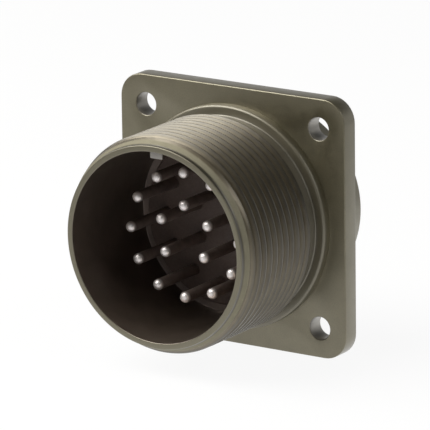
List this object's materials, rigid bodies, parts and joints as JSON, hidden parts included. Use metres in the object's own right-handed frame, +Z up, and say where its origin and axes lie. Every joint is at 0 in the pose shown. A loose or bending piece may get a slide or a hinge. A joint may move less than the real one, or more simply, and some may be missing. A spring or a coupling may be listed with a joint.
{
  "type": "flanged circular connector receptacle",
  "caption": "Square-flange panel receptacle with a threaded round barrel, a keyed bore and a field of round pin contacts backed by solder cups.",
  "frame": {"origin": "centre of the flange's back face, which lies on the panel, on the centre line of the barrels", "axes": "+Y along the centre line towards the solder side behind the panel, the open mating side looks along -Y; +Z up, towards the polarising key; +X to the right as the pins are seen"},
  "size_m": [0.0382, 0.0346, 0.0382],
  "materials": {
    "shell": "olive drab conversion coating over plating on aluminium, satin",
    "front_insert": "moulded thermoset, nearly black",
    "rear_insert": "moulded thermoset, nearly black",
    "thrust_washer": "pressed fibre board, dull",
    "retaining_ring": "spring steel, plated",
    "contact": "silver plated, slightly dull"
  },
  "bodies": {
    "root": {"shell": "shell", "front_insert": "front_insert", "rear_insert": "rear_insert", "thrust_washer": "thrust_washer", "retaining_ring": "retaining_ring", "pin_contact_a": "contact", "pin_contact_b": "contact", "pin_contact_c": "contact", "pin_contact_d": "contact", "pin_contact_e": "contact", "pin_contact_f": "contact", "pin_contact_g": "contact", "pin_contact_h": "contact", "pin_contact_j": "contact", "pin_contact_k": "contact", "pin_contact_l": "contact", "pin_contact_m": "contact", "pin_contact_n": "contact", "pin_contact_p": "contact", "pin_contact_r": "contact", "pin_contact_s": "contact", "pin_contact_t": "contact"}
  },
  "joints": []
}
